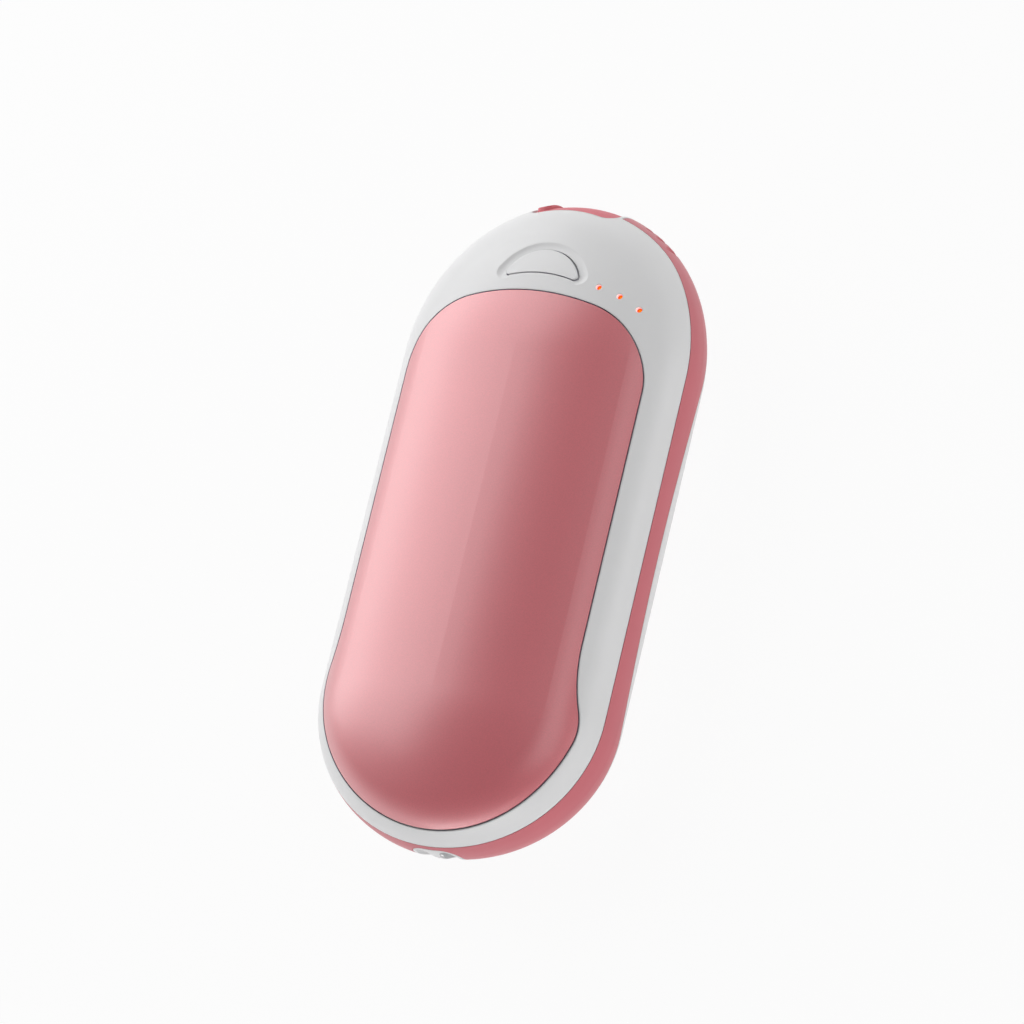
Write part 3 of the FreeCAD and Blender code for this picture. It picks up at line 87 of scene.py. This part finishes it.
def shade(colour, share):
    return tuple(min(1.0, channel * share) for channel in colour)


def opaque(colour):
    return (*colour, 1.0)


# Finish of each look, with the grain, the relief and the softened edges in millimetres; deep is the colour of
# painted shade inside narrow gaps
FINISHES = {
    "white": dict(name="white_satin", colour=WHITE, rough=0.34, grain=0.16, relief=0.004, vary=0.012),
    "front": dict(name="white_front", colour=WHITE, rough=0.34, grain=0.16, relief=0.004, vary=0.012,
                  soft=0.35, deep=GAP_SHADE),
    "button": dict(name="white_button", colour=shade(WHITE, BUTTON_SHARE), rough=0.32, grain=0.14, relief=0.003,
                   vary=0.012, soft=0.25),
    "plate": dict(name="pink_anodised", colour=PINK, rough=0.5, grain=0.2, relief=0.008, vary=0.08, speck=0.8,
                  metal=0.18, soft=0.12, deep=GAP_SHADE, Coat_Weight=1.0, Coat_Roughness=0.34, Coat_IOR=2.35,
                  Sheen_Weight=1.0, Sheen_Roughness=0.45),
    "band": dict(name="pink_satin", colour=BAND_PINK, rough=0.4, grain=0.18, relief=0.005, vary=0.03),
    "silicone": dict(name="pink_silicone", colour=shade(BAND_PINK, SILICONE_SHARE), rough=0.55, grain=0.25,
                     relief=0.006, vary=0.04),
    "tape": dict(name="pale_tape", colour=(0.7, 0.68, 0.62), rough=0.6, grain=0.4, relief=0.01, vary=0.05),
    "film": dict(name="amber_film", colour=(0.6, 0.26, 0.03), rough=0.25, grain=0.8, relief=0.01, vary=0.12,
                 Coat_Weight=0.3),
    "foam": dict(name="pale_foam", colour=(0.62, 0.62, 0.58), rough=0.9, grain=0.3, relief=0.06, vary=0.06),
    "epoxy": dict(name="black_epoxy", colour=(0.02, 0.02, 0.022), rough=0.5, grain=0.15, relief=0.008, vary=0.1),
    "sleeve": dict(name="blue_sleeve", colour=(0.05, 0.16, 0.36), rough=0.3, grain=2.0, relief=0.02, vary=0.08,
                   Coat_Weight=0.3),
    "black": dict(name="black_plastic", colour=(0.025, 0.025, 0.028), rough=0.5, grain=0.2, relief=0.01, vary=0.08),
    "nickel": dict(name="nickel", colour=(0.62, 0.6, 0.56), rough=0.28, grain=0.2, relief=0.004, vary=0.04,
                   metal=1.0, stretch=(1.0, 0.08, 1.0)),
    "wire_black": dict(name="black_wire", colour=(0.02, 0.02, 0.02), rough=0.55, grain=0.4, relief=0.01, vary=0.1),
    "wire_red": dict(name="red_wire", colour=(0.5, 0.02, 0.02), rough=0.5, grain=0.4, relief=0.01, vary=0.08),
    "board": dict(name="green_board", colour=(0.012, 0.12, 0.05), rough=0.35, grain=0.6, relief=0.01, vary=0.15,
                  Coat_Weight=0.4),
    "chip": dict(name="pale_chip", colour=(0.75, 0.7, 0.45), rough=0.3, grain=0.2, relief=0.004, vary=0.05),
    "ferrite": dict(name="ferrite", colour=(0.08, 0.08, 0.085), rough=0.7, grain=0.2, relief=0.02, vary=0.15),
    "ceramic": dict(name="ceramic", colour=(0.36, 0.23, 0.12), rough=0.5, grain=0.3, relief=0.01, vary=0.08),
    "core": dict(name="white_core", colour=(0.7, 0.7, 0.68), rough=0.45, grain=0.2, relief=0.006, vary=0.03),
    "zinc": dict(name="zinc", colour=(0.58, 0.58, 0.6), rough=0.32, grain=0.25, relief=0.006, vary=0.05, metal=1.0),
}

LOOKS = {
    "white": ["rear_shell", "port_plate", "lanyard_anchor"],
    "front": ["front_shell"],
    "button": ["power_button"],
    "plate": ["front_heat_plate", "rear_heat_plate"],
    "band": ["side_band"],
    "silicone": ["port_cover", "cover_tether"],
    "lens": ["indicator_lenses"],
    "tape": ["front_plate_tape", "rear_plate_tape"],
    "film": ["front_heater_film", "rear_heater_film", "front_heater_lead", "rear_heater_lead"],
    "foam": ["front_insulation_pad", "rear_insulation_pad"],
    "epoxy": ["temperature_sensor", "control_chips"],
    "sleeve": ["cell_left", "cell_right"],
    "black": ["lower_cell_holder", "upper_cell_holder", "switch_housing", "switch_plunger", "inlet_core"],
    "nickel": ["lower_strip", "upper_strip", "outlet_shell", "inlet_shell"],
    "wire_black": ["negative_lead"],
    "wire_red": ["positive_lead"],
    "board": ["circuit_board"],
    "chip": ["indicator_chips"],
    "ferrite": ["power_inductor"],
    "ceramic": ["board_capacitors"],
    "core": ["outlet_core"],
    "zinc": ["case_screws"],
}


def new_material(name):
    material = bpy.data.materials.new(name)
    material.use_nodes = True
    tree = material.node_tree
    return material, tree, tree.nodes["Principled BSDF"]


def add(tree, kind, **values):
    """A node with its settings, and its inputs named in words with underscores for spaces."""
    node = tree.nodes.new(kind)
    for name, value in values.items():
        if hasattr(node, name):
            setattr(node, name, value)
        else:
            node.inputs[name.replace("_", " ")].default_value = value
    return node


def calculate(tree, operation, *terms, kind="ShaderNodeMath"):
    """A math node over sockets and plain values, in order."""
    node = add(tree, kind, operation=operation)
    for slot, term in zip(node.inputs, terms):
        if isinstance(term, bpy.types.NodeSocket):
            tree.links.new(term, slot)
        else:
            slot.default_value = term
    return node


def fold(tree, operation, sockets):
    """Brings several values down to one by a math operation on pairs."""
    result = sockets[0]
    for socket in sockets[1:]:
        result = calculate(tree, operation, result, socket).outputs["Value"]
    return result


def place_of(tree):
    return add(tree, "ShaderNodeTexCoord").outputs["Object"]


def noise(tree, grain, detail, stretch=None):
    """Noise whose features are about one grain across, in millimetres."""
    node = add(tree, "ShaderNodeTexNoise", Scale=1.0 / (grain * MM), Detail=detail)
    source = place_of(tree)
    if stretch:
        mapping = add(tree, "ShaderNodeMapping", Scale=stretch)
        tree.links.new(source, mapping.inputs["Vector"])
        source = mapping.outputs["Vector"]
    tree.links.new(source, node.inputs["Vector"])
    return node.outputs["Fac"]


def ramp(tree, source, start, end, low, high):
    """Maps the stretch of a value from start to end onto low to high."""
    node = add(tree, "ShaderNodeMapRange", From_Min=start, From_Max=end, To_Min=low, To_Max=high)
    tree.links.new(source, node.inputs["Value"])
    return node.outputs["Result"]


def spread(tree, source, low, high):
    """Maps a noise's middle range to a low and a high value."""
    return ramp(tree, source, NOISE_LOW, NOISE_HIGH, low, high)


def tint(tree, source, dark, light):
    """A colour between two, by a factor."""
    node = add(tree, "ShaderNodeMix", data_type="RGBA")
    node.inputs[FIRST].default_value = opaque(dark)
    node.inputs[SECOND].default_value = opaque(light)
    tree.links.new(source, node.inputs[FACTOR])
    return node.outputs[COLOUR]


def in_gaps(tree, colour, deep):
    """Painted shade: the colour, darkened to a deep one inside narrow gaps by ambient occlusion."""
    shadow = add(tree, "ShaderNodeAmbientOcclusion", samples=GAP_SAMPLES, Distance=GAP_REACH * MM)
    node = add(tree, "ShaderNodeMix", data_type="RGBA")
    node.inputs[FIRST].default_value = opaque(deep)
    tree.links.new(spread(tree, shadow.outputs["AO"], 0.0, 1.0), node.inputs[FACTOR])
    tree.links.new(colour, node.inputs[SECOND])
    return node.outputs[COLOUR]


def add_relief(tree, shader, source, depth, soft):
    """Relief from a height, over edges that are rounded by a small radius, in millimetres."""
    node = add(tree, "ShaderNodeBump", Distance=depth * MM, Strength=RELIEF_STRENGTH)
    tree.links.new(source, node.inputs["Height"])
    if soft:
        edge = add(tree, "ShaderNodeBevel", samples=EDGE_SAMPLES, Radius=soft * MM)
        tree.links.new(edge.outputs["Normal"], node.inputs["Normal"])
    tree.links.new(node.outputs["Normal"], shader.inputs["Normal"])


def surface(name, colour, rough, grain, relief, vary, speck=0.0, metal=0.0, stretch=None, soft=0.0, deep=None,
            **sockets):
    """A moulded, blasted or plated surface: cloudy colour, uneven gloss and a fine grain that stands in relief.

    The colour varies by a share, and speck is how much of that follows the grain instead of the clouds. With deep,
    narrow gaps take painted shade of that colour.
    """
    material, tree, shader = new_material(name)
    for socket, value in sockets.items():
        shader.inputs[socket.replace("_", " ")].default_value = value
    shader.inputs["Metallic"].default_value = metal
    fine = noise(tree, grain, FINE_DETAIL, stretch)
    mottle = add(tree, "ShaderNodeMix", data_type="FLOAT")
    mottle.inputs[FACTOR].default_value = speck
    tree.links.new(spread(tree, noise(tree, CLOUD, CLOUD_DETAIL), 0.0, 1.0), mottle.inputs["A"])
    tree.links.new(spread(tree, fine, 0.0, 1.0), mottle.inputs["B"])
    paint = tint(tree, mottle.outputs["Result"], shade(colour, 1 - vary), shade(colour, 1 + vary))
    if deep:
        paint = in_gaps(tree, paint, deep)
    tree.links.new(paint, shader.inputs["Base Color"])
    gloss = spread(tree, fine, rough * (1 - GLOSS_SPREAD), rough * (1 + GLOSS_SPREAD))
    tree.links.new(gloss, shader.inputs["Roughness"])
    add_relief(tree, shader, fine, relief, soft)
    return material


def near_axis(tree, centres):
    """Distance in plan from the nearest of some upright axes."""
    place = place_of(tree)
    reaches = []
    for centre in centres:
        offset = calculate(tree, "SUBTRACT", place, centre, kind="ShaderNodeVectorMath")
        flat = calculate(tree, "MULTIPLY", offset.outputs["Vector"], IN_PLAN, kind="ShaderNodeVectorMath")
        reach = calculate(tree, "LENGTH", flat.outputs["Vector"], kind="ShaderNodeVectorMath")
        reaches.append(reach.outputs["Value"])
    return fold(tree, "MINIMUM", reaches)


def lit_lens(name, centres):
    """A lit lens: an orange middle in a redder rim, round each lens's own centre."""
    material, tree, shader = new_material(name)
    start, end = (share * LENS_RADIUS * MM for share in LENS_RAMP_SHARES)
    outward = ramp(tree, near_axis(tree, centres), start, end, 0.0, 1.0)
    tree.links.new(tint(tree, outward, LENS_BODY_MIDDLE, LENS_BODY_RIM), shader.inputs["Base Color"])
    tree.links.new(tint(tree, outward, LENS_MIDDLE, LENS_RIM), shader.inputs["Emission Color"])
    shader.inputs["Emission Strength"].default_value = 1.0
    shader.inputs["Specular IOR Level"].default_value = LENS_SHINE
    shader.inputs["Roughness"].default_value = LENS_ROUGH
    return material


def light_holes(material, centres, radius):
    """Painted light: the walls of the holes that the lights shine through glow in the lights' colour, as emission.
    """
    tree = material.node_tree
    shader = tree.nodes["Principled BSDF"]
    inside = calculate(tree, "LESS_THAN", near_axis(tree, centres), radius)
    strength = calculate(tree, "MULTIPLY", inside.outputs["Value"], HOLE_GLOW_STRENGTH)
    tree.links.new(strength.outputs["Value"], shader.inputs["Emission Strength"])
    shader.inputs["Emission Color"].default_value = opaque(HOLE_GLOW)


def lens_centres():
    """Middle of each lens, from the loose parts of their node."""
    mesh = bmesh.new()
    mesh.from_mesh(nodes["indicator_lenses"].data)
    bmesh.ops.remove_doubles(mesh, verts=mesh.verts, dist=SAME_POINT * MM)
    left = set(mesh.verts)
    centres = []
    while left:
        todo = [left.pop()]
        part = []
        while todo:
            vert = todo.pop()
            part.append(vert.co.copy())
            for edge in vert.link_edges:
                other = edge.other_vert(vert)
                if other in left:
                    left.remove(other)
                    todo.append(other)
        low = Vector(map(min, *part))
        high = Vector(map(max, *part))
        centres.append((low + high) / 2)
    mesh.free()
    return sorted(centres, key=lambda centre: centre.x)


def hole_radius(centre):
    """Radius of the front shell's hole round a lens, from the shell's nearest point in plan."""
    return min((vert.co - centre).to_2d().length for vert in nodes["front_shell"].data.vertices)


def make_materials():
    lenses = lens_centres()
    made = {look: surface(**finish) for look, finish in FINISHES.items()}
    made["lens"] = lit_lens("red_light", lenses)
    light_holes(made["front"], lenses, HOLE_SPARE_SHARE * max(hole_radius(centre) for centre in lenses))
    return made


def dress_nodes(materials):
    for look, names in LOOKS.items():
        for name in names:
            mesh = nodes[name].data
            mesh.materials.clear()
            mesh.materials.append(materials[look])


def turn_about(axis, degrees):
    return Matrix.Rotation(math.radians(degrees), DIMENSIONS, axis)


def add_camera():
    turn = turn_about("Z", ROLL) @ turn_about("X", PITCH) @ turn_about("Y", YAW)
    back = turn.transposed()
    data = bpy.data.cameras.new("camera")
    data.sensor_width = SENSOR
    data.lens = FOCAL_PIXELS / PHOTO_WIDTH * SENSOR
    data.clip_start, data.clip_end = CLIP_START, CLIP_END
    camera = bpy.data.objects.new("camera", data)
    bpy.context.scene.collection.objects.link(camera)
    place = (back @ Vector(CAMERA_SHIFT) + Vector(WAIST_OFFSET)) * MM
    camera.matrix_world = Matrix.Translation(place) @ back.to_4x4()
    bpy.context.scene.camera = camera


def add_lamp(name, direction, distance, size, power):
    data = bpy.data.lights.new(name, "AREA")
    data.shape = "RECTANGLE"
    data.size, data.size_y = size
    data.energy = power
    lamp = bpy.data.objects.new(name, data)
    bpy.context.scene.collection.objects.link(lamp)
    towards = Vector(direction).normalized()
    lamp.location = towards * distance
    lamp.rotation_mode = "QUATERNION"
    lamp.rotation_quaternion = towards.to_track_quat("Z", "Y")


def add_lamps():
    for name, values in LAMPS.items():
        add_lamp(name, *values)


def add_world():
    world = bpy.data.worlds.new("studio")
    bpy.context.scene.world = world
    world.use_nodes = True
    tree = world.node_tree
    back = tree.nodes["Background"]
    split = add(tree, "ShaderNodeSeparateXYZ")
    tree.links.new(add(tree, "ShaderNodeTexCoord").outputs["Generated"], split.inputs["Vector"])
    light = ramp(tree, split.outputs["Z"], HORIZON_HEIGHT, SKY_HEIGHT, HORIZON_LIGHT, SKY_LIGHT)
    tree.links.new(light, back.inputs["Color"])
    back.inputs["Strength"].default_value = 1.0


def floor_material():
    """Pale and matt, but nearly white to camera, glossy and transmission rays; the rest of it takes the shadow."""
    material, tree, shader = new_material("pale_floor")
    shader.inputs["Base Color"].default_value = opaque(FLOOR_GREY)
    shader.inputs["Roughness"].default_value = FLOOR_ROUGH
    glow = add(tree, "ShaderNodeEmission", Strength=1.0)
    rays = add(tree, "ShaderNodeLightPath")
    seen = fold(tree, "MAXIMUM", [rays.outputs[kind] for kind in SEEING_RAYS])
    share = calculate(tree, "MULTIPLY", seen, FLOOR_GLOW_SHARE)
    blend = add(tree, "ShaderNodeMixShader")
    tree.links.new(share.outputs["Value"], blend.inputs[0])
    tree.links.new(shader.outputs["BSDF"], blend.inputs[1])
    tree.links.new(glow.outputs["Emission"], blend.inputs[2])
    tree.links.new(blend.outputs["Shader"], tree.nodes["Material Output"].inputs["Surface"])
    return material


def add_floor():
    signs = ((-1, -1), (1, -1), (1, 1), (-1, 1))
    corners = [(x * FLOOR_HALF, y * FLOOR_HALF, FLOOR_LEVEL) for x, y in signs]
    mesh = bpy.data.meshes.new("floor")
    mesh.from_pydata(corners, [], [tuple(range(len(corners)))])
    floor = bpy.data.objects.new("floor", mesh)
    bpy.context.scene.collection.objects.link(floor)
    mesh.materials.append(floor_material())


dress_nodes(make_materials())
add_camera()
add_lamps()
add_world()
add_floor()
bpy.context.scene.view_settings.view_transform = "Standard"
